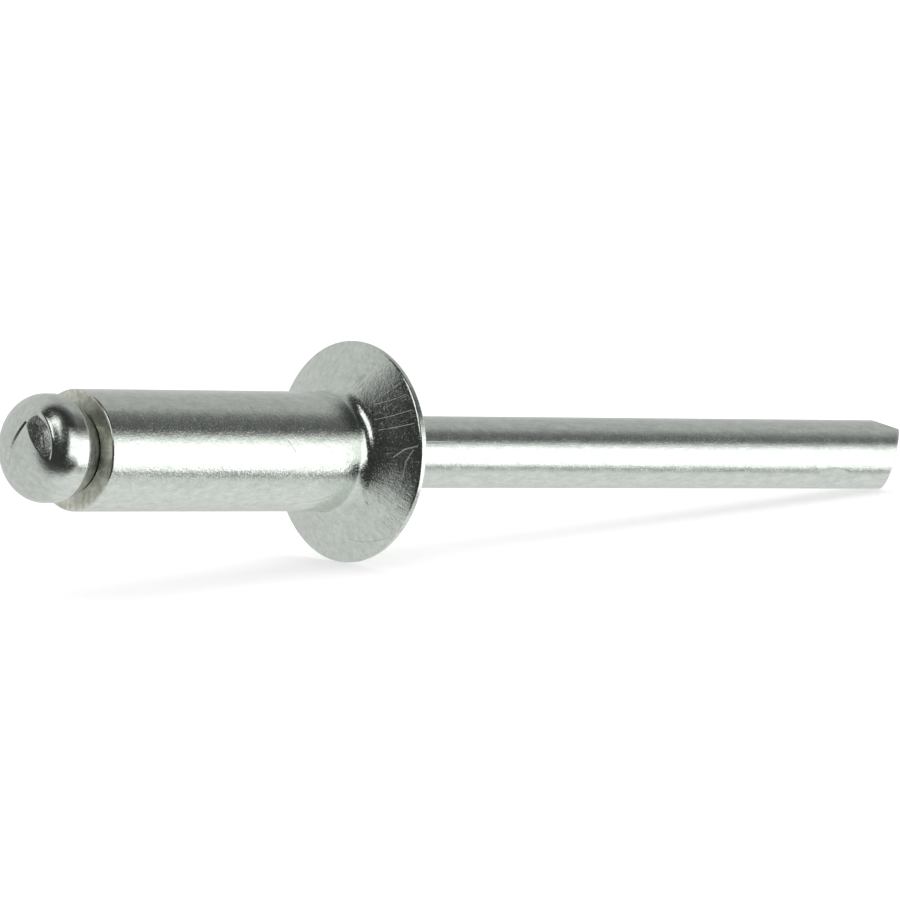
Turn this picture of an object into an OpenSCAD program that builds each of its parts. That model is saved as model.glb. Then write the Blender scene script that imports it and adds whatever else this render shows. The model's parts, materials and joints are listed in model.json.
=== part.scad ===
// Countersunk open-end blind rivet: an aluminium sleeve with a flange, unset on its mandrel.
// Both pieces are drawn along Z, with Z = 0 on the flange's flat face and the pulling end at +Z.
// They are then laid down together as the loose rivet rests: on the flange's rim and the mandrel's tip.
// Turns round the axis start at the side that faces down when the rivet lies, and pass the +Y side.

/* [Sleeve] */
// Outside diameter of the sleeve
sleeve_d = 4; // [3.6:0.1:4.8]
// Length from the flange's flat face to the sleeve's plain end
sleeve_length = 12.25; // [8:0.25:20]
// Length of the taper that leads the plain end into its hole
sleeve_lead_l = 0.35; // [0.2:0.05:1]
// How much smaller the taper makes the end's radius
sleeve_lead_in = 0.1; // [0.04:0.01:0.2]
// Rounding at the outer edge of the plain end
sleeve_end_round = 0.05; // [0.02:0.01:0.1]
// Gap all round between the mandrel and the sleeve's bore
bore_gap = 0.035; // [0.02:0.005:0.06]

/* [Countersunk flange] */
// Diameter of the flange
flange_d = 7.42; // [6.8:0.01:8.4]
// Included angle of the cone under the flange
flange_angle = 120; // [100:1:130]
// Thickness of the flange's straight rim
flange_rim = 0.13; // [0.12:0.01:0.6]
// Rounding of the rim's two edges
flange_edge_round = 0.05; // [0.02:0.01:0.06]
// Radius of the fillet between the sleeve and the cone
flange_fillet_r = 0.4; // [0.1:0.1:0.8]

/* [Mandrel shank] */
// Diameter of the mandrel's shank
mandrel_d = 2.43; // [2.2:0.01:2.6]
// Length of shank from the flange's flat face to the chisel edge at its tip
mandrel_reach = 26.05; // [20:0.05:34]

/* [Mandrel head] */
// How far the head's side stands inside the sleeve's outside
head_inset = 0.22; // [0.1:0.01:0.4]
// Width of the head's flat seat on the sleeve's end
seat_w = 0.12; // [0.06:0.01:0.2]
// Height of the cone from the seat out to the head's side
head_cone_h = 0.84; // [0.5:0.01:1.2]
// Height of the head's straight side
head_side_h = 0.37; // [0.2:0.01:0.8]
// Height of the dome, before its nose is pinched
head_dome_h = 1.27; // [0.8:0.01:1.6]
// Rounding of the edge between the head's cone and its side
head_edge_round = 0.06; // [0.02:0.01:0.1]

/* [Pinched nose] */
// Lean of the nose's broad facet from square to the axis
nose_broad_lean = 12; // [6:1:20]
// Lean of the nose's side facet from square to the axis
nose_side_lean = 29; // [22:1:36]
// Turn of the broad facet round the axis
nose_broad_turn = -88; // [-120:1:-60]
// Turn of the side facet round the axis
nose_side_turn = -116; // [-150:1:-90]
// Depth that the broad facet takes off the dome
nose_broad_depth = 0.12; // [0.04:0.01:0.2]
// Depth that the side facet takes off the dome
nose_side_depth = 0.1; // [0.04:0.01:0.2]

/* [Break notch] */
// Distance from the head's seat to the middle of the notch
notch_from_seat = 1.4; // [0.8:0.1:3]
// Depth of the notch from each side of the shank
notch_depth = 0.4; // [0.2:0.01:0.6]
// Included angle of the notch
notch_angle = 70; // [50:1:90]

/* [Cut tip] */
// Lean of the two chisel facets from square to the axis
chisel_lean = 37; // [25:1:45]
// Turn of the first chisel facet round the axis
chisel_turn = -70; // [-90:1:-50]
// Lean of the long side facet from the axis
side_facet_lean = 12.6; // [8:0.2:25]
// Turn of the long side facet round the axis
side_facet_turn = -172; // [-180:1:-150]
// Length of the long side facet, back from the chisel edge along the shank
side_facet_length = 1.06; // [0.6:0.02:2]

/* [Grip mark] */
// Distance from the chisel edge back to the middle of the mark
mark_from_edge = 3.8; // [2:0.1:8]
// Turn of the mark round the axis
mark_turn = -60; // [-90:1:-30]
// Depth of the mark in the shank
mark_depth = 0.044; // [0.02:0.002:0.08]
// Lengthwise radius of the mark's hollow
mark_curve_r = 6.5; // [4:0.5:12]

/* [Hidden] */
$fn = 96;
arc_steps = 8;
dome_steps = 18;
cut = 8;

sleeve_r = sleeve_d / 2;
flange_r = flange_d / 2;
shank_r = mandrel_d / 2;
bore_r = shank_r + bore_gap;
cone_depth = flange_rim + (flange_r - sleeve_r) / tan(flange_angle / 2);

head_r = sleeve_r - head_inset;
seat_r = bore_r + seat_w;
seat_z = -sleeve_length;
head_back_z = seat_z - head_cone_h;
dome_z = head_back_z - head_side_h;

// The loose rivet touches a table at the rim's front edge and at the cut edge of the tip.
// Each pass works out the tip's drop below the axis at the last slope and gives a better slope.
function tip_drop(slope) =
    shank_r * sqrt(1 + pow(tan(chisel_lean) * slope, 2)
                   - 2 * tan(chisel_lean) * slope * cos(chisel_turn));
function rim_drop(slope) =
    flange_r - flange_edge_round + flange_edge_round * (sqrt(1 + slope * slope) - slope);
function rest_slope(slope, passes) =
    passes == 0 ? slope
                : rest_slope((rim_drop(slope) - tip_drop(slope)) / mandrel_reach, passes - 1);
lay_slope = rest_slope(0, 8);
lay_angle = atan(lay_slope);
axis_height = rim_drop(lay_slope) * cos(lay_angle);

// The ends of the laid rivet along X, from the middle of the flange's flat face.
dome_reach = -dome_z * cos(lay_angle)
             + sqrt(pow(head_dome_h * cos(lay_angle), 2) + pow(head_r * sin(lay_angle), 2));
tip_reach = mandrel_reach * cos(lay_angle);
middle_x = (tip_reach - dome_reach) / 2;

function unit(v) = v / norm(v);

// Points of an arc that rounds the corner at b, between the edges to a and to c.
function corner(a, b, c, r) =
    r == 0 ? [b] :
    let (u = unit(a - b), v = unit(c - b),
         half = acos(u * v) / 2,
         centre = b + unit(u + v) * r / sin(half),
         from = b + u * r / tan(half) - centre,
         side = sign(from[0] * (b - centre)[1] - from[1] * (b - centre)[0]),
         start = atan2(from[1], from[0]),
         sweep = side * (180 - 2 * half))
    [for (i = [0:arc_steps])
        centre + r * [cos(start + sweep * i / arc_steps), sin(start + sweep * i / arc_steps)]];

// A closed outline from corners given as [radius, height, rounding].
function outline(corners) =
    let (n = len(corners), p = [for (c = corners) [c[0], c[1]]])
    [for (i = [0:n - 1]) each corner(p[(i + n - 1) % n], p[i], p[(i + 1) % n], corners[i][2])];

// Quarter ellipse of the dome, from its pole to the head's straight side.
function dome() =
    [for (i = [0:dome_steps - 1])
        [head_r * sin(90 * i / dome_steps), dome_z - head_dome_h * cos(90 * i / dome_steps), 0]];

// Lays a piece down from its drawing position.
module laid() {
    translate([-middle_x, 0, axis_height])
        rotate([0, 90 + lay_angle, 0])
            children();
}

// All the space beyond a plane whose normal leans from +Z towards the given turn.
module beyond(z, lean, turn) {
    translate([0, 0, z])
        rotate([0, 0, turn])
            rotate([0, lean, 0])
                translate([-cut / 2, -cut / 2, 0])
                    cube(cut);
}

// Where a facet of the nose crosses the axis, for its lean and its depth in the dome.
function nose_z(lean, depth) =
    dome_z - (sqrt(pow(head_dome_h * cos(lean), 2) + pow(head_r * sin(lean), 2)) - depth) / cos(lean);

module nose_facets() {
    beyond(nose_z(nose_broad_lean, nose_broad_depth), 180 - nose_broad_lean, nose_broad_turn);
    beyond(nose_z(nose_side_lean, nose_side_depth), 180 - nose_side_lean, nose_side_turn);
}

module tip_facets() {
    beyond(mandrel_reach, chisel_lean, chisel_turn);
    beyond(mandrel_reach, chisel_lean, chisel_turn + 180);
    beyond(mandrel_reach - side_facet_length + shank_r / tan(side_facet_lean),
           90 - side_facet_lean, side_facet_turn);
}

// Two V grooves, one from each side, where the mandrel snaps when the rivet is set.
module break_notch() {
    half_w = notch_depth * tan(notch_angle / 2);
    for (turn = [0, 180])
        rotate([0, 0, turn])
            translate([shank_r - notch_depth, 0, seat_z + notch_from_seat])
                rotate([90, 0, 0])
                    linear_extrude(cut, center = true)
                        polygon([[0, 0], [2 * notch_depth, 2 * half_w], [2 * notch_depth, -2 * half_w]]);
}

// Shallow oval hollow, as a round jaw leaves when it grazes the shank.
module grip_mark() {
    rotate([0, 0, mark_turn])
        translate([shank_r - mark_depth + mark_curve_r, 0, mandrel_reach - mark_from_edge])
            rotate([90, 0, 0])
                cylinder(r = mark_curve_r, h = cut, center = true);
}

// Sleeve and countersunk flange, one cold-formed piece.
// The outline is swept from the side that faces up, so its seam stays clear of the table.
module rivet_body() {
    color([0.8, 0.82, 0.8])
        laid()
            rotate([0, 0, 180])
                rotate_extrude()
                    polygon(outline([
                        [bore_r, 0, 0],
                        [flange_r, 0, flange_edge_round],
                        [flange_r, -flange_rim, flange_edge_round],
                        [sleeve_r, -cone_depth, flange_fillet_r],
                        [sleeve_r, sleeve_lead_l - sleeve_length, 0],
                        [sleeve_r - sleeve_lead_in, -sleeve_length, sleeve_end_round],
                        [bore_r, -sleeve_length, 0]]));
}

// Drawn wire mandrel with an upset head, a break notch and a pinch-cut tip.
module mandrel() {
    color([0.74, 0.77, 0.75])
        laid()
            difference() {
                rotate_extrude()
                    polygon(outline(concat(dome(), [
                        [head_r, dome_z, 0],
                        [head_r, head_back_z, head_edge_round],
                        [seat_r, seat_z, 0],
                        [shank_r, seat_z, 0],
                        [shank_r, mandrel_reach + shank_r, 0],
                        [0, mandrel_reach + shank_r, 0]])));
                nose_facets();
                break_notch();
                grip_mark();
                tip_facets();
            }
}

rivet_body();
mandrel();
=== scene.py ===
import json
import bpy
import numpy as np
from mathutils import Matrix


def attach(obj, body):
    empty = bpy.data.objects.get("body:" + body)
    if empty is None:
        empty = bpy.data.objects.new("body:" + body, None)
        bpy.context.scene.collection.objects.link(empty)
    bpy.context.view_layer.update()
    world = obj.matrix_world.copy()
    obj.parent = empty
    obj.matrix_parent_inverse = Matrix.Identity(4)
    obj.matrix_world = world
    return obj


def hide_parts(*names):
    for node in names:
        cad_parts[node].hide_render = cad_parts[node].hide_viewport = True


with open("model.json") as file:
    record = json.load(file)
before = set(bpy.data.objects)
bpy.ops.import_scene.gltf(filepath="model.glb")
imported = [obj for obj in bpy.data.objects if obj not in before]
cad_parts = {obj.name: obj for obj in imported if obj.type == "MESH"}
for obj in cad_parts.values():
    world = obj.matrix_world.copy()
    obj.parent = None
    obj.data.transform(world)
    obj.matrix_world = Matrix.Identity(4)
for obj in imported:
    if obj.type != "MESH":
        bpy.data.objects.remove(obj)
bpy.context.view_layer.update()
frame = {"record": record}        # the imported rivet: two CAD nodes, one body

mm = 0.001
mounts = {m["name"]: m for m in frame["record"]["mounts"]}
alongAxis = np.array(mounts["flange_face"]["axis"], float)
alongAxis /= np.linalg.norm(alongAxis)
farSide = np.array((0.0, 1.0, 0.0))
underSide = np.cross(farSide, alongAxis)
faceCentre = np.array(mounts["flange_face"]["pos_m"], float) * (1, 0, 1)   # on the axis
handTurn = -95.4                # the side of the rivet that the camera sees face on


def inRow(places):
    # row = centre + x * underSide + y * farSide + s * alongAxis, all turned to metres
    return faceCentre + mm * (places @ np.stack((underSide, farSide, alongAxis)))


def hexColour(code):
    # linear = ((c + 0.055) / 1.055) ^ 2.4, or c / 12.92 below 0.04045, for each sRGB channel
    c = np.array([int(code[i:i + 2], 16) for i in (1, 3, 5)]) / 255
    return (*np.where(c <= 0.04045, c / 12.92, ((c + 0.055) / 1.055) ** 2.4), 1.0)


def smoothStep(x, low, high):
    # 3t^2 - 2t^3, with t running from 0 at low to 1 at high
    t = np.clip((x - low) / (high - low), 0, 1)
    return t * t * (3 - 2 * t)


def band(x, low, high, softLow, softHigh):
    # 1 between low and high, with a smooth step of the given half-width at each end
    rise = smoothStep(x, low - softLow, low + softLow)
    return rise * (1 - smoothStep(x, high - softHigh, high + softHigh))


def softMin(k, *fields):
    # -k * log(sum(exp(-f / k))): the least of the fields, with corners rounded over about k
    stack = np.stack(np.broadcast_arrays(*fields))
    low = stack.min(axis=0)
    return low - k * np.log(np.exp(-(stack - low) / k).sum(axis=0))


def meshPiece(name, rings, joined, finish=None):
    # rings[i, j] is a place: i counts along the profile, j round the axis.
    # A joined profile closes on itself, and any other ends in a pole at each end.
    rows, around = rings.shape[:2]
    places = rings.reshape(-1, 3)
    i = np.arange(rows if joined else rows - 1)[:, None] * around
    n = (i + around) % (rows * around)
    j = np.arange(around)[None, :]
    k = (j + 1) % around
    quads = np.stack((i + j, i + k, n + k, n + j), axis=-1).reshape(-1, 4)
    faces = quads.tolist()
    if not joined:
        poles = np.stack((rings[0].mean(axis=0), rings[-1].mean(axis=0)))
        places = np.concatenate((places, poles))
        first, last = rows * around, rows * around + 1
        near = np.stack((np.full(around, first), k[0], j[0]), axis=-1)
        end = (rows - 1) * around
        far = np.stack((np.full(around, last), end + j[0], end + k[0]), axis=-1)
        faces += near.tolist() + far.tolist()
    mesh = bpy.data.meshes.new(name)
    mesh.from_pydata(inRow(places).tolist(), [], faces)
    mesh.polygons.foreach_set("use_smooth", np.ones(len(faces), bool))
    ownPlace = mesh.attributes.new("rivetPlace", "FLOAT_VECTOR", "POINT")
    ownPlace.data.foreach_set("vector", places.astype(np.float32).ravel())
    for key, share in (finish or {}).items():
        # one value for each place; a pole takes the mean of its ring, and a joined profile has none
        share = np.broadcast_to(share, (rows, around))
        share = np.concatenate((share.ravel(), share[[0, -1]].mean(axis=1)))[:len(places)]
        attribute = mesh.attributes.new(key, "FLOAT", "POINT")
        attribute.data.foreach_set("value", share.astype(np.float32))
    mesh.update()
    piece = bpy.data.objects.new(name, mesh)
    bpy.context.scene.collection.objects.link(piece)
    return piece


def straightStretch(start, end, spacing, margin=0.01):
    # start + t * (end - start) for evenly spaced t, with a first and a last point the margin away
    # from the ends, or a fifth of a short stretch, so that the shading stays flat
    length = np.linalg.norm(end - start)
    steps = max(2, int(np.ceil(length / spacing)))
    close = min(margin / length, 0.2)
    t = np.concatenate(([close], np.linspace(0, 1, steps + 1)[1:-1], [1 - close]))
    return start + t[:, None] * (end - start)


def cornerArc(before, at, after, radius, steps):
    # the arc that touches both edges: centre on the bisector, radius / sin(half angle) away
    if radius == 0:
        return at[None, :]
    u, v = before - at, after - at
    u, v = u / np.linalg.norm(u), v / np.linalg.norm(v)
    half = np.arccos(np.clip(u @ v, -1, 1)) / 2
    middle = (u + v) / np.linalg.norm(u + v)
    centre = at + middle * radius / np.sin(half)
    sweep = np.linspace(-1, 1, steps + 1) * (np.pi / 2 - half)
    across = (v - u) / np.linalg.norm(v - u)
    return centre + radius * (np.sin(sweep)[:, None] * across - np.cos(sweep)[:, None] * middle)


def roundedProfile(corners, joined, steps=12, spacing=0.12):
    # corners are (s, radius from the axis, rounding); arcs with straight stretches between them
    points = np.array([c[:2] for c in corners], float)
    count = len(corners)
    arcs = []
    for i in range(count):
        inner = joined or 0 < i < count - 1
        rounding = corners[i][2] if inner else 0
        arcs.append(cornerArc(points[i - 1], points[i], points[(i + 1) % count], rounding, steps))
    path = []
    for i in range(count):
        path.append(arcs[i])
        if joined or i < count - 1:
            path.append(straightStretch(arcs[i][-1], arcs[(i + 1) % count][0], spacing))
    return np.concatenate(path)


def turned(s, radius, turns):
    # (radius * cos(turn), radius * sin(turn), s) for each pair of a profile point and a turn
    s, radius, turns = np.broadcast_arrays(s, radius, turns)
    return np.stack((radius * np.cos(turns), radius * np.sin(turns), s), axis=-1)


# Rivet body: sleeve and countersunk flange

bodySet = {
    "sleeveRadius": mounts["plate_hole"]["dims"]["r_mm"],
    "length": 12.25,            # flat face to the plain end
    "boreRadius": 1.25,
    "boreEdge": (0.12, 0.12),   # broken edge of the bore at the plain end: radial width, depth
    "endRounding": 0.08,
    "brightEdge": 0.03,         # outer width of the plain end that is bright, as the sleeve is
    "flangeRadius": 3.71,
    "rim": 0.13,
    "rimBevel": (0.02, 0.045),  # the trimmed rim's back edge: half its length, and its width
    "edgeRounding": 0.02,       # of the bore's broken edge and the rim's bevel
    "faceRounding": 0.04,       # of the flat face's edge
    "coneHalfAngle": 60,        # degrees from the axis
    "fillet": 0.52,
    "unevenRim": 0.11,          # the rim is thicker by this on one side and thinner opposite
    "thickTurn": -108,
    "flangeTilt": 0.019,        # forming left the flange out of square by this slope
    "flangeFrom": 2.2,          # radius where both begin
    "flangeForward": 0.06,      # how far this rivet's flange stands forward of its nominal place
    "forwardFrom": (1.2, 0.5),  # behind the cone, where that move begins and where it is whole
    "around": 256,
}


def flangeShift(v, s, radius, turns):
    # -outer * (behindFace * unevenRim * cos(turn - thickTurn) + flangeTilt * radius * cos(turn -
    # the turn that leans)), where outer grows from 0 at flangeFrom to 1 at the rim, and
    # behindFace from 0 on the flat face, which the uneven rim leaves alone, to 1 at the rim's back
    outer = smoothStep(radius, v["flangeFrom"], v["flangeRadius"])
    behindFace = np.clip(-s / v["rim"], 0, 1)
    thicker = v["unevenRim"] * np.cos(turns - np.radians(v["thickTurn"]))
    tilt = v["flangeTilt"] * radius * np.cos(turns - np.radians(handTurn + 90))
    return -outer * (behindFace * thicker + tilt)


def makeBody(v):
    # the profile turned round the axis, and moved along it by flangeShift and flangeForward
    outward = v["flangeRadius"] - v["sleeveRadius"]
    coneDepth = v["rim"] + outward / np.tan(np.radians(v["coneHalfAngle"]))
    edgeWide, edgeDeep = v["boreEdge"]
    bevelHalf, bevelWide = v["rimBevel"]
    profile = roundedProfile([
        (edgeDeep - v["length"], v["boreRadius"], 0),
        (-v["length"], v["boreRadius"] + edgeWide, v["edgeRounding"]),
        (-v["length"], v["sleeveRadius"], v["endRounding"]),
        (-coneDepth, v["sleeveRadius"], v["fillet"]),
        (-v["rim"] - bevelHalf, v["flangeRadius"] - bevelWide, v["edgeRounding"]),
        (bevelHalf - v["rim"], v["flangeRadius"], v["edgeRounding"]),
        (0, v["flangeRadius"], v["faceRounding"]),
        (0, v["boreRadius"], 0)], joined=True)
    turns = np.linspace(0, 2 * np.pi, v["around"], endpoint=False)[None, :]
    s, radius = profile[:, :1], profile[:, 1:]
    begins, whole = v["forwardFrom"]
    forward = v["flangeForward"] * smoothStep(s, -coneDepth - begins, -coneDepth - whole)
    s = s + flangeShift(v, s, radius, turns) + forward
    # the plain end is dull from its broken bore edge, taken in by a hair, to its bright edge
    hair = 0.001
    nearEnd = profile[:, 0] < edgeDeep - v["length"] + hair
    endFace = nearEnd & (profile[:, 1] < v["sleeveRadius"] - v["brightEdge"])
    return meshPiece("sleeve_and_flange", turned(s, radius, turns), joined=True,
                     finish={"dull": endFace[:, None].astype(float)})


body = makeBody(bodySet)
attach(body, "root")
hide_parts("rivet_body")
print("rivet body made,", len(body.data.polygons), "faces")


# Mandrel: pinched domed head, shank with break notch and grip mark, cut tip

mandrelSet = {
    "shankRadius": mounts["mandrel_grip"]["dims"]["r_mm"],
    "reach": 26.05,             # flat face to the chisel edge
    "headRadius": 1.78,
    "seatRadius": 1.26,
    "seat": -12.14,             # the head bears low on the broken edge of the sleeve's bore
    "headBack": -13.09,         # where the head's cone ends and its side begins
    "sideHeight": 0.37,
    "domeHeight": 1.26,
    "headBulge": (-12.65, 1.6, 0.6),    # corner that bends the head's cone: s, radius, rounding
    "headRounding": 0.11,
    "underDull": 0.7,           # how matt and torn the head's cone is left
    "underFrom": (0.02, 0.06),  # past the head's side, where that begins and where it is whole
    "headOff": 0.06, "headOffTurn": 174.6,      # the upset head sits off the wire's axis
    # the pinched nose, in (across, down) from the head's centre as the camera sees it
    "pinch": {
        "border": [(0.74, -1.08), (0.5, -1.05), (0.32, -0.84), (0.76, -0.04), (1.2255, 0.482)],
        "corner": 2,                            # the border's place that the crease starts from
        "slope": 0.3, "soft": 0.06,
        "wall": (1.25, 1.33),                   # radii between which the pit's floor rises again
        "creaseEnd": (-0.58, 0.56), "creaseDepth": 0.07, "creaseHalf": (0.05, 0.15),
        "creaseFade": 0.85,                     # share of its length after which it fades out
        "lip": 1.40, "lipHalf": 0.08, "lipHeight": 0.045,
        "lipTurns": (-65, -5), "lipTurnSoft": 12,
        "torn": (1.07, 1.25), "tornSoft": 0.04,
        "tornTurns": (-48, 6), "tornTurnSoft": 5},
    "notch": {"fromSeat": 1.29, "depth": 0.4, "halfAngle": 35},
    "mark": {"fromEdge": 3.8, "turn": -57, "depth": 0.042, "curve": 6.5},
    "chisel": {"lean": 37, "turn": -70},
    "sideFacet": {"lean": 12.6, "turn": -172, "length": 0.95},
    "cutSoft": 0.002,           # rounding of the notch's and the mark's edges
    "tipSoft": 0.04,
    "tipBevel": 0.04,
    # the mesh: rows on the wall are spaced by wall, or by the second number out to the first
    # about the notch and the mark, and bend to the cut over toCut
    "rows": {"head": 0.08, "wall": 1.5, "notch": (0.36, 0.06), "mark": (0.9, 0.05), "toCut": 1.8},
    "steps": {"nose": 120, "toCut": 16, "bevel": 6, "cut": 30},
    "around": 288,
}


def planeHeight(x, y, start, lean, turn):
    # height along the axis of a plane that leans by the angle lean, rising towards turn
    turn = np.radians(turn)
    return start + np.tan(np.radians(lean)) * (x * np.cos(turn) + y * np.sin(turn))


def towards(turn):
    # (cos turn, sin turn, 0)
    return np.array((np.cos(np.radians(turn)), np.sin(np.radians(turn)), 0.0))


def segmentPlace(p, q, start, end):
    # t = (point - start) . (end - start) / |end - start|^2, kept from 0 to 1, and the distance
    # from the point to the place at t
    du, dv = end[0] - start[0], end[1] - start[1]
    t = ((p - start[0]) * du + (q - start[1]) * dv) / (du * du + dv * dv)
    t = np.clip(t, 0, 1)
    return t, np.hypot(p - start[0] - t * du, q - start[1] - t * dv)


def noseHeight(v, x, y):
    # -domeHeight * sqrt(1 - (out / headRadius)^2), the lower half of an ellipsoid, with a pit whose
    # depth is slope * distance inside its border, up to a round wall. A crease runs on from the
    # pit's corner, and a lip of exp(-((out - lip) / lipHalf)^2) stands along the wall. Also gives
    # how far the wall is torn, from 0 to 1.
    pinch = v["pinch"]
    across = x * towards(handTurn)[0] + y * towards(handTurn)[1]
    down = x * towards(handTurn + 90)[0] + y * towards(handTurn + 90)[1]
    out = np.hypot(x, y)
    turn = np.degrees(np.arctan2(down, across))
    height = -v["domeHeight"] * np.sqrt(1 - np.clip(out / v["headRadius"], 0, 1) ** 2)
    distances = []
    for start, end in zip(pinch["border"], pinch["border"][1:]):
        du, dv = end[0] - start[0], end[1] - start[1]
        off = (across - start[0]) * dv - (down - start[1]) * du
        distances.append(off / np.hypot(du, dv))
    inside = np.maximum(softMin(pinch["soft"], *distances), 0)
    pit = pinch["slope"] * inside * (1 - smoothStep(out, *pinch["wall"]))
    t, off = segmentPlace(across, down, pinch["border"][pinch["corner"]], pinch["creaseEnd"])
    narrow, wide = pinch["creaseHalf"]
    crease = 1 - smoothStep(off / (narrow + (wide - narrow) * t), 0, 1)
    crease = crease * (1 - smoothStep(t, pinch["creaseFade"], 1))
    lip = np.exp(-((out - pinch["lip"]) / pinch["lipHalf"]) ** 2)
    lip = lip * band(turn, *pinch["lipTurns"], pinch["lipTurnSoft"], pinch["lipTurnSoft"])
    torn = band(out, *pinch["torn"], pinch["tornSoft"], pinch["tornSoft"])
    torn = torn * band(turn, *pinch["tornTurns"], pinch["tornTurnSoft"], pinch["tornTurnSoft"])
    height = height + pit + pinch["creaseDepth"] * crease - pinch["lipHeight"] * lip
    return v["headBack"] - v["sideHeight"] + height, torn


def tipHeight(v, x, y):
    # two chisel planes that fall away from the edge, and the long side facet
    edge, side = v["chisel"], v["sideFacet"]
    sideStart = v["reach"] - side["length"] + v["shankRadius"] / np.tan(np.radians(side["lean"]))
    return softMin(
        v["tipSoft"],
        planeHeight(x, y, v["reach"], -edge["lean"], edge["turn"]),
        planeHeight(x, y, v["reach"], -edge["lean"], edge["turn"] + 180),
        planeHeight(x, y, sideStart, side["lean"] - 90, side["turn"]))


def shankRadiusAt(v, s, turns):
    # least of the wire's radius, the V notch's planes and the mark's hollow, along each ray
    notch, mark = v["notch"], v["mark"]
    edgeOn = 0.05           # least cosine, for a ray that runs along a cut and never meets it
    fromNotch = np.abs(s - v["seat"] - notch["fromSeat"]) / np.tan(np.radians(notch["halfAngle"]))
    across = np.maximum(np.abs(np.cos(turns)), edgeOn)
    groove = (v["shankRadius"] - notch["depth"] + fromNotch) / across
    fromMark = s - v["reach"] + mark["fromEdge"]
    facing = np.maximum(np.cos(turns - np.radians(mark["turn"])), edgeOn)
    hollow = (v["shankRadius"] - mark["depth"] + fromMark ** 2 / (2 * mark["curve"])) / facing
    return softMin(v["cutSoft"], v["shankRadius"], groove, hollow)


def makeMandrel(v):
    # rings from the nose's tip to the cut's middle: nose, head, wall, cut's edge, bevel and cut
    turns = np.linspace(0, 2 * np.pi, v["around"], endpoint=False)[None, :]
    shank, back = v["shankRadius"], v["headBack"]
    spaced, steps = v["rows"], v["steps"]
    offAxis = v["headOff"] * towards(v["headOffTurn"])

    lift = np.linspace(0, np.pi / 2, steps["nose"] + 1)[1:, None]
    out = v["headRadius"] * np.sin(lift)
    height, torn = noseHeight(v, out * np.cos(turns), out * np.sin(turns))
    nose = turned(height, out, turns) + offAxis

    profile = roundedProfile([
        (back - v["sideHeight"], v["headRadius"], 0),
        (back, v["headRadius"], v["headRounding"]),
        v["headBulge"],
        (v["seat"], v["seatRadius"], 0)], joined=False, spacing=spaced["head"])[1:]
    # the head is off the axis at its side and on the axis at its seat
    shift = offAxis * smoothStep(-profile[:, 0], -v["seat"], -back)[:, None, None]
    head = turned(profile[:, :1], profile[:, 1:], turns) + shift
    underBegins, underWhole = v["underFrom"]
    under = smoothStep(profile[:, 0], back + underBegins, back + underWhole)

    straight = v["reach"] - spaced["toCut"]
    notchAt, markAt = v["seat"] + v["notch"]["fromSeat"], v["reach"] - v["mark"]["fromEdge"]
    notchReach, notchStep = spaced["notch"]
    markReach, markStep = spaced["mark"]
    rows = np.unique(np.round(np.concatenate((
        np.arange(v["seat"], straight, spaced["wall"]),
        np.arange(notchAt - notchReach, notchAt + notchReach + notchStep / 2, notchStep),
        np.arange(markAt - markReach, markAt + markReach, markStep))), 3))[:, None]
    wall = turned(rows, shankRadiusAt(v, rows, turns), turns)

    # the wall's last rows share the way to the cut's edge, then a small bevel, then the facets
    bevel = v["tipBevel"]
    edge = tipHeight(v, shank * np.cos(turns), shank * np.sin(turns)) - bevel
    share = np.linspace(0, 1, steps["toCut"] + 1)[:-1, None]
    toCut = turned(straight + share * (edge - straight), shank, turns)
    roll = np.linspace(0, np.pi / 2, steps["bevel"] + 1)[:, None]
    out = shank - bevel * (1 - np.cos(roll))
    drop = bevel * (1 - np.sin(roll))
    rolled = turned(tipHeight(v, out * np.cos(turns), out * np.sin(turns)) - drop, out, turns)
    out = np.linspace(shank - bevel, 0, steps["cut"] + 1)[1:-1, None]
    cut = turned(tipHeight(v, out * np.cos(turns), out * np.sin(turns)), out, turns)
    rings = np.concatenate((nose, head, wall, toCut, rolled, cut))
    dull = np.zeros(rings.shape[:2])
    dull[:len(nose)] = torn
    dull[len(nose):len(nose) + len(head)] = v["underDull"] * under[:, None]
    return meshPiece("mandrel_wire", rings, joined=False, finish={"dull": dull})


mandrel = makeMandrel(mandrelSet)
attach(mandrel, "root")
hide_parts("mandrel")
print("mandrel made,", len(mandrel.data.polygons), "faces")


# Finishes

def addNode(tree, kind, settings=None, links=None):
    # settings fill attributes by name and inputs by name or number; links feed inputs from a
    # socket, or from a node's first output
    node = tree.nodes.new("ShaderNode" + kind)
    for key, value in (settings or {}).items():
        if isinstance(key, str) and hasattr(node, key):
            setattr(node, key, value)
        else:
            node.inputs[key].default_value = value
    for key, source in (links or {}).items():
        tree.links.new(getattr(source, "outputs", [source])[0], node.inputs[key])
    return node


def newMaterial(name):
    material = bpy.data.materials.new(name)
    material.use_nodes = True
    material.node_tree.nodes.clear()
    return material, material.node_tree


def onScratches(tree, place, scratches):
    # 1 on the line through each scratch's places, fading to 0 at its half-width. A scratch is
    # its half-width in millimetres and then the places that it runs through.
    total = None
    for half, *spots in scratches:
        for start, end in zip(spots, spots[1:]):
            way = end - start
            begun = addNode(tree, "VectorMath", {"operation": "SUBTRACT", 1: start}, {0: place})
            share = addNode(tree, "VectorMath", {"operation": "DOT_PRODUCT", 1: way / (way @ way)},
                            {0: begun})
            held = addNode(tree, "Clamp", links={"Value": share.outputs["Value"]})
            foot = addNode(tree, "VectorMath", {"operation": "SCALE", 0: way}, {"Scale": held})
            off = addNode(tree, "VectorMath", {"operation": "DISTANCE"}, {0: begun, 1: foot})
            mark = addNode(tree, "MapRange",
                           {"interpolation_type": "SMOOTHSTEP", "From Max": half, "To Min": 1.0,
                            "To Max": 0.0}, {"Value": off.outputs["Value"]})
            total = mark if total is None else addNode(
                tree, "Math", {"operation": "MAXIMUM"}, {0: total, 1: mark})
    return total


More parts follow.
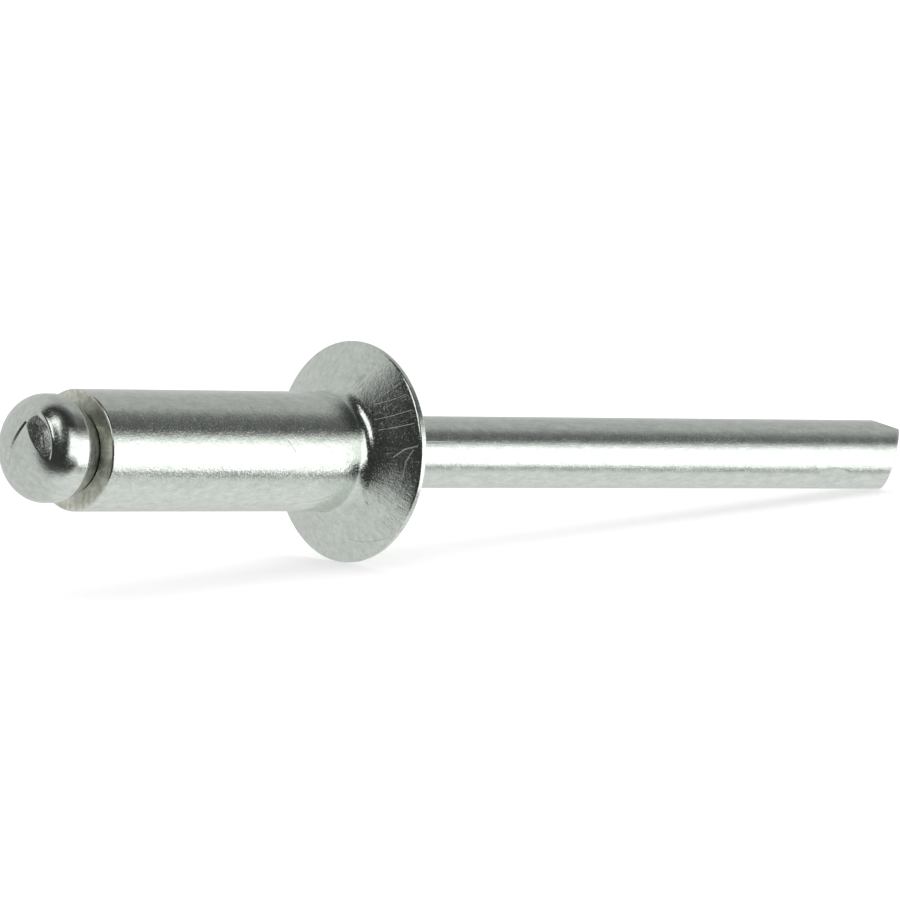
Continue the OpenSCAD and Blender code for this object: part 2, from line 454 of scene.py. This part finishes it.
fineNoise = {"Scale": 1.0, "Detail": 2.0, "Roughness": 0.6}     # on places that are already scaled
noiseReach = {"From Min": 0.3, "From Max": 0.7}                 # where nearly all of a noise lies


def makeAluminium(name, v):
    # height = sum of depth * pattern, as one bump after another; roughness and colour run between
    # two values by noise, and to others on scratches and on the dull skin. A Mix node's sockets
    # go by number: input 0 is the share, 2 and 3 are numbers, and 6, 7 and output 2 are colours.
    material, tree = newMaterial(name)
    place = addNode(tree, "Attribute", {"attribute_name": "rivetPlace"}).outputs["Vector"]
    dull = addNode(tree, "Attribute", {"attribute_name": "dull"}).outputs["Fac"]

    heights = []
    for size, along, low, high, depth in v["grain"]:
        stretched = addNode(tree, "Mapping", {"Scale": (1 / size, 1 / size, along / size)},
                            {"Vector": place})
        field = addNode(tree, "TexNoise", fineNoise, {"Vector": stretched})
        kept = addNode(tree, "MapRange", {"From Min": low, "From Max": high}, {"Value": field})
        heights.append((kept, depth))

    if "hatch" in v:
        # fine lines that run out along the flange: noise on the direction from the axis
        hatch = v["hatch"]
        flat = addNode(tree, "VectorMath", {"operation": "MULTIPLY", 1: (1, 1, 0)}, {0: place})
        outward = addNode(tree, "VectorMath", {"operation": "NORMALIZE"}, {0: flat})
        out = addNode(tree, "VectorMath", {"operation": "LENGTH"}, {0: flat}).outputs["Value"]
        lifted = addNode(tree, "CombineXYZ", links={"Z": out})
        rays = addNode(tree, "VectorMath", {"operation": "MULTIPLY_ADD", 1: (hatch["spread"],) * 3},
                       {0: outward, 2: lifted})
        lines = addNode(tree, "TexNoise", fineNoise, {"Vector": rays})
        fine = addNode(tree, "MapRange", hatch["kept"], {"Value": lines})
        begun = addNode(tree, "MapRange", hatch["begins"], {"Value": out})
        beforeRim = addNode(tree, "MapRange", hatch["ends"], {"Value": out})
        spots = addNode(tree, "TexNoise", {"Scale": hatch["patchesPerMm"], "Detail": 2.0},
                        {"Vector": place})
        here = addNode(tree, "MapRange", hatch["patchKept"], {"Value": spots})
        for share in (begun, beforeRim, here):
            fine = addNode(tree, "Math", {"operation": "MULTIPLY"}, {0: fine, 1: share})
        heights.append((fine, -hatch["depth"]))

    marks = onScratches(tree, place, v["scratches"])
    heights.append((marks, -v["scratchDepth"]))
    torn = addNode(tree, "TexNoise", {"Scale": 1 / v["tornSize"], "Detail": 3.0}, {"Vector": place})
    ragged = addNode(tree, "Math", {"operation": "MULTIPLY"}, {0: torn, 1: dull})
    heights.append((ragged, v["tornDepth"]))
    bump = None
    for source, depth in heights:
        links = {"Height": source, "Normal": bump} if bump else {"Height": source}
        bump = addNode(tree, "Bump", {"Strength": 1.0, "Distance": abs(depth) * mm,
                                      "invert": depth < 0}, links)

    patches = addNode(tree, "TexNoise", {"Scale": 1 / v["patchSize"], "Detail": 3.0},
                      {"Vector": place})
    smooth, matt = v["roughness"]
    clean = addNode(tree, "MapRange", {**noiseReach, "To Min": smooth, "To Max": matt},
                    {"Value": patches})
    worn = addNode(tree, "Mix", {3: v["dullRoughness"]}, {0: dull, 2: clean})
    roughness = addNode(tree, "Mix", {3: v["scratchRoughness"]}, {0: marks, 2: worn})

    # colour: speckle drawn out along the axis, and a second pair of colours, in blotches, where the
    # skin is dull
    drawn = addNode(tree, "Mapping", {"Scale": (1, 1, v["speckleAlong"])}, {"Vector": place})
    speckle = addNode(tree, "TexNoise", {"Scale": 1 / v["speckleSize"], "Detail": 4.0,
                                         "Roughness": 0.7}, {"Vector": drawn})
    spread = addNode(tree, "MapRange", noiseReach, {"Value": speckle})
    tone = addNode(tree, "Mix", {"data_type": "RGBA", 6: hexColour(v["colour"][0]),
                                 7: hexColour(v["colour"][1])}, {0: spread})
    blotch = addNode(tree, "TexNoise", {"Scale": 1 / v["stainSize"], "Detail": 3.0},
                     {"Vector": place})
    blotchShare = addNode(tree, "MapRange", v["stainKept"], {"Value": blotch})
    warm = addNode(tree, "Mix", {"data_type": "RGBA", 6: hexColour(v["dullColour"][0]),
                                 7: hexColour(v["dullColour"][1])}, {0: blotchShare})
    colour = addNode(tree, "Mix", {"data_type": "RGBA"},
                     {0: dull, 6: tone.outputs[2], 7: warm.outputs[2]})
    shader = addNode(tree, "BsdfPrincipled", {"Metallic": 1.0},
                     {"Base Color": colour.outputs[2], "Roughness": roughness, "Normal": bump})
    addNode(tree, "OutputMaterial", links={"Surface": shader})
    return material


# Places for the scratches, by a turn in degrees and a radius or s in millimetres

def onCone(turn, radius):
    # s = -rim - (flangeRadius - radius) / tan(coneHalfAngle), plus flangeShift and flangeForward,
    # as the flange itself is moved
    v, turn = bodySet, np.radians(turn)
    s = -v["rim"] - (v["flangeRadius"] - radius) / np.tan(np.radians(v["coneHalfAngle"]))
    return turned(s + flangeShift(v, s, radius, turn) + v["flangeForward"], radius, turn)


def onSleeve(turn, s):
    # at the sleeve's radius
    return turned(s, bodySet["sleeveRadius"], np.radians(turn))


def onEnd(turn, radius):
    # on the sleeve's plain end
    return turned(-bodySet["length"], radius, np.radians(turn))


def onWire(turn, s):
    # at the wire's radius
    return turned(s, mandrelSet["shankRadius"], np.radians(turn))


# Cold-formed aluminium, tumbled bright: mirror-like bands broken up by a fine orange peel.
# A grain row is its size, its frequency along the axis as a share of that across, the range of
# the noise that is kept, and its height. Sizes and heights are millimetres.
sleeveFinish = {
    "colour": ("#C9D1CA", "#E6ECE5"),
    "roughness": (0.1, 0.18),
    "grain": [
        (0.5, 1, 0, 1, 0.006),                  # slow waves from forming
        (0.09, 1, 0, 1, 0.0045),                # orange peel of the tumbled skin
        (0.06, 1, 0.56, 0.75, 0.0024),          # sparse bumps
        (0.05, 0.06, 0, 1, 0.001)],             # faint lines along the sleeve
    "speckleSize": 0.2, "speckleAlong": 0.5,
    "stainSize": 0.25, "stainKept": {"From Min": 0.4, "From Max": 0.62},
    "hatch": {
        "spread": 60, "depth": 0.0036, "kept": {"From Min": 0.54, "From Max": 0.72},
        "begins": {"From Min": 2.3, "From Max": 2.6},                                   # radii
        "ends": {"From Min": 3.55, "From Max": 3.65, "To Min": 1.0, "To Max": 0.0},
        "patchesPerMm": 2.2, "patchKept": {"From Min": 0.4, "From Max": 0.6}},
    "scratches": [
        (0.035, onCone(-92, 2.82), onCone(-97, 3.17), onCone(-98.5, 3.57)),
        (0.03, onCone(-80, 3.19), onCone(-89.5, 3.22), onCone(-96.5, 3.44)),
        (0.012, onCone(-133.5, 2.56), onCone(-129.5, 3.1), onCone(-128, 3.56)),
        (0.012, onCone(-122, 2.38), onCone(-119.5, 3), onCone(-118.5, 3.58)),
        (0.012, onCone(-113, 2.4), onCone(-111.5, 2.95), onCone(-111, 3.56)),
        (0.025, onCone(-13.5, 2.94), onCone(-23, 3.15), onCone(-32, 3.34), onCone(-41.5, 3.55)),
        (0.06, onCone(-51.5, 2.4), onCone(-51, 2.48)),
        (0.06, onSleeve(-63.5, -11.26), onSleeve(-54, -11.05)),
        (0.03, onEnd(-31, 1.51), onEnd(-20, 1.8)),
        (0.04, onSleeve(-177.5, -1.5), onSleeve(-168.5, -1.42), onSleeve(-158.5, -1.28)),
        (0.03, onSleeve(-106.5, -4.59), onSleeve(-95, -4.26))],
    "scratchDepth": 0.006, "scratchRoughness": 0.65,
    "tornSize": 0.09, "tornDepth": 0.0015,
    "patchSize": 0.8,
    # the plain end's dull colours are warmer than the sleeve's own
    "dullRoughness": 0.33, "dullColour": ("#CCCCBE", "#ECECE2"),    # sheared end, left unpolished
}
# Drawn aluminium wire: cleaner bands, with faint lines along it from the die
mandrelFinish = {
    "colour": ("#C9D0CA", "#E4EAE3"),
    "roughness": (0.14, 0.21),
    "grain": [
        (0.4, 1, 0, 1, 0.003),
        (0.08, 1, 0, 1, 0.0024),
        (0.06, 1, 0.58, 0.75, 0.002),
        (0.045, 0.05, 0, 1, 0.0022)],
    "speckleSize": 0.2, "speckleAlong": 0.4,
    "stainSize": 0.25, "stainKept": {"From Min": 0.4, "From Max": 0.62},
    "scratches": [(0.014, onWire(-111.7, 2.45), onWire(-111.7, 3.79))],
    "scratchDepth": 0.0015, "scratchRoughness": 0.4,
    "tornSize": 0.06, "tornDepth": 0.014,
    "patchSize": 0.6,
    # the dull colours are darker than the wire's own, on the torn band by the nose's pit and on the
    # head's cone
    "dullRoughness": 0.32, "dullColour": ("#A4AAA4", "#D0D4CE"),
}
body.data.materials.append(makeAluminium("tumbled aluminium", sleeveFinish))
mandrel.data.materials.append(makeAluminium("drawn aluminium wire", mandrelFinish))
print("finishes made")


# Camera: a long lens, low and from the head's side

cameraSet = {
    "azimuth": -43.16, "elevation": 7.71,       # degrees
    "distance": 287.69,                         # flange face to lens, along the view
    "offCentre": (-3.357, -0.055),              # the flange face's centre from the view's middle
    "lens": 343.84, "sensor": 36,
    "clip": (0.01, 10),                         # metres
}


def viewAxes(azimuth, elevation):
    # right = (cos a, sin a, 0), back = (sin a cos e, -cos a cos e, sin e) and up = back x right,
    # of a level camera; azimuth 0 looks along +Y
    a, e = np.radians(azimuth), np.radians(elevation)
    right = np.array((np.cos(a), np.sin(a), 0))
    back = np.array((np.sin(a) * np.cos(e), -np.cos(a) * np.cos(e), np.sin(e)))
    return right, np.cross(back, right), back


def makeCamera(v):
    right, up, back = viewAxes(v["azimuth"], v["elevation"])
    camera = bpy.data.objects.new("camera", bpy.data.cameras.new("camera"))
    bpy.context.scene.collection.objects.link(camera)
    aside = v["offCentre"][0] * right + v["offCentre"][1] * up
    turn = np.eye(4)
    turn[:3, :3] = np.stack((right, up, back), axis=1)
    turn[:3, 3] = faceCentre + mm * (v["distance"] * back - aside)
    camera.matrix_world = Matrix(turn.tolist())
    camera.data.sensor_width = v["sensor"]
    camera.data.lens = v["lens"]
    camera.data.clip_start, camera.data.clip_end = v["clip"]
    bpy.context.scene.camera = camera


makeCamera(cameraSet)
print("camera set")


# Studio: table, white surroundings, and the light tent that the metal mirrors

# Directions are (azimuth, elevation) in degrees as the camera sees them: 0 is straight away from
# the camera, 90 to its right and 180 behind it. Levels are 1 for white.
studioSet = {
    "tentRadius": 600, "tentStep": 1.0,     # degrees between the globe's rows
    "horizon": 0.66,
    # levels on the left and on the right, and the sideways shares between which one turns to
    # the other; the nadir's level is whole from nadirWhole of the way down
    "zenith": (0.64, 0.46), "zenithTurns": (-0.3, 0.2),
    "nadir": (0.70, 0.84), "nadirTurns": (-0.4, 0.4), "nadirWhole": 0.8,
    "dark": [((155, 23), 75), ((190, -5), 40)],     # middle and radius of the zone's two discs
    "darkSoft": 8, "darkLevel": (0.14, 0.04), "darkTurn": (78, 108),
    "softBox": {"at": (103, -2.5), "half": (44, 21.5), "roll": 14, "soft": (3, 3, 13), "level": 1.6},
    "lineBelow": {"width": 6.5, "level": 0.33, "soft": (3, 2)},
    "strip": {"at": (189, 38), "half": (12, 23), "roll": 0, "soft": (3, 4, 4), "level": 1.5},
}


def wayTo(azimuth, elevation):
    # (sin a cos e, sin e, cos a cos e) as right, up and away
    a, e = np.radians((azimuth, elevation))
    return np.array((np.sin(a) * np.cos(e), np.sin(e), np.cos(a) * np.cos(e)))


def panelPlace(ways, panel):
    # degrees along and up a flat panel that faces the rivet, rolled about its middle
    a, e = np.radians(panel["at"])
    roll = np.radians(panel["roll"])
    level = np.array((np.cos(a), 0, -np.sin(a)))
    upward = np.array((-np.sin(a) * np.sin(e), np.cos(e), -np.cos(a) * np.sin(e)))
    along = level * np.cos(roll) + upward * np.sin(roll)
    up = upward * np.cos(roll) - level * np.sin(roll)
    ahead = np.arctan2(ways @ along, ways @ wayTo(*panel["at"]))
    return np.degrees(ahead), np.degrees(np.arcsin(ways @ up))


def onPanel(ways, panel):
    # 1 on the panel: a band of its width times a band of its height
    along, up = panelPlace(ways, panel)
    wide, high = panel["half"]
    side, lower, upper = panel["soft"]
    return band(along, -wide, wide, side, side) * band(up, -high, high, lower, upper)


def between(first, last, share):
    # first + (last - first) * share
    return first + (last - first) * share


def tentLight(v, ways):
    # pale all round, dark in a round zone about the camera, bright on the soft box and the strip
    right, up, away = ways.T
    nadir = between(*v["nadir"], smoothStep(right, *v["nadirTurns"]))
    zenith = between(*v["zenith"], smoothStep(right, *v["zenithTurns"]))
    level = between(v["horizon"], zenith, smoothStep(up, 0, 1))
    level = level + (nadir - v["horizon"]) * smoothStep(-up, 0, v["nadirWhole"])
    outside = 1
    for at, radius in v["dark"]:
        off = np.degrees(np.arccos(np.clip(ways @ wayTo(*at), -1, 1))) - radius
        outside = outside * smoothStep(off, -v["darkSoft"], v["darkSoft"])
    azimuth = np.degrees(np.arctan2(right, away)) % 360
    dark = between(*v["darkLevel"], smoothStep(azimuth, *v["darkTurn"]))
    level = between(level, dark, 1 - outside)
    level = between(level, v["strip"]["level"], onPanel(ways, v["strip"]))
    box, line = v["softBox"], v["lineBelow"]
    along, above = panelPlace(ways, box)
    wide, high = box["half"]
    side, edge = line["soft"]
    under = band(along, -wide, wide, side, side) * band(above, -high - line["width"], -high, edge, edge)
    level = between(level, line["level"], under)
    return between(level, box["level"], onPanel(ways, box))


def makeTent(v):
    # a globe round the rivet, seen only by mirrored rays; each corner holds its own light level
    lift = np.radians(np.arange(v["tentStep"] - 90, 90, v["tentStep"]))[:, None]
    turn = np.radians(np.arange(0, 360, v["tentStep"]))[None, :]
    away = np.cos(lift) * np.cos(turn)
    way = np.stack((np.cos(lift) * np.sin(turn), away, np.sin(lift) + 0 * turn), axis=-1)
    tent = meshPiece("light_tent", way[:, ::-1] * v["tentRadius"], joined=False)
    points = np.zeros(len(tent.data.vertices) * 3)
    tent.data.vertices.foreach_get("co", points)
    way = points.reshape(-1, 3) - faceCentre
    way /= np.linalg.norm(way, axis=1)[:, None]
    right, up, back = viewAxes(cameraSet["azimuth"], cameraSet["elevation"])
    level = tentLight(v, way @ np.stack((right, up, -back), axis=1))
    glow = tent.data.attributes.new("glow", "FLOAT", "POINT")
    glow.data.foreach_set("value", level.astype(np.float32))
    material, tree = newMaterial("tent light")
    material.cycles.emission_sampling = "NONE"
    strength = addNode(tree, "Attribute", {"attribute_name": "glow"}).outputs["Fac"]
    light = addNode(tree, "Emission", {"Color": (1, 1, 1, 1)}, {"Strength": strength})
    addNode(tree, "OutputMaterial", links={"Surface": light})
    tent.data.materials.append(material)
    tent.visible_camera = tent.visible_diffuse = tent.visible_shadow = False


tableSet = {"half": 3.0, "colour": "#E6E6E6", "white": 0.5}     # metres; share of its own white


def backgroundRays(tree):
    # 1 for rays from the camera, off metal or through glass, 0 for the rest
    path = addNode(tree, "LightPath")
    first = addNode(tree, "Math", {"operation": "ADD"},
                    {0: path.outputs["Is Camera Ray"], 1: path.outputs["Is Glossy Ray"]})
    return addNode(tree, "Math", {"operation": "ADD", "use_clamp": True},
                   {0: first, 1: path.outputs["Is Transmission Ray"]})


def makeTable(v):
    h = v["half"]
    mesh = bpy.data.meshes.new("table")
    mesh.from_pydata([(-h, -h, 0), (h, -h, 0), (h, h, 0), (-h, h, 0)], [], [(0, 1, 2, 3)])
    table = bpy.data.objects.new("table", mesh)
    bpy.context.scene.collection.objects.link(table)
    material, tree = newMaterial("pale table")
    paint = addNode(tree, "BsdfDiffuse", {"Color": hexColour(v["colour"])})
    white = addNode(tree, "Math", {"operation": "MULTIPLY", 1: v["white"]},
                    {0: backgroundRays(tree)})
    own = addNode(tree, "Emission", {"Color": (1, 1, 1, 1)}, {"Strength": white})
    both = addNode(tree, "AddShader", links={0: paint, 1: own})
    addNode(tree, "OutputMaterial", links={"Surface": both})
    mesh.materials.append(material)
    table.visible_glossy = False        # the metal mirrors the light tent through it


lightSet = {
    "surroundings": 0.6,                # light of the surroundings on all but the background
    "lampPower": 1.6, "lampSize": 0.9, "lampAt": (0.05, 0.05, 0.6),     # watts and metres
}


def makeWorld(level):
    world = bpy.data.worlds.new("white surroundings")
    bpy.context.scene.world = world
    world.use_nodes = True
    tree = world.node_tree
    tree.nodes.clear()
    strength = addNode(tree, "MapRange", {"To Min": level, "To Max": 1.0},
                       {"Value": backgroundRays(tree)})
    sky = addNode(tree, "Background", {"Color": (1, 1, 1, 1)}, {"Strength": strength})
    addNode(tree, "OutputWorld", links={"Surface": sky})


def makeLamp(name, power, size, spot):
    lamp = bpy.data.objects.new(name, bpy.data.lights.new(name, "AREA"))
    lamp.data.energy, lamp.data.size = power, size
    bpy.context.scene.collection.objects.link(lamp)
    lamp.location = spot
    lamp.visible_glossy = False         # the metal already mirrors the tent


makeTent(studioSet)
makeTable(tableSet)
makeWorld(lightSet["surroundings"])
makeLamp("overhead", lightSet["lampPower"], lightSet["lampSize"], lightSet["lampAt"])
bpy.context.scene.view_settings.view_transform = "Standard"
print("studio set")
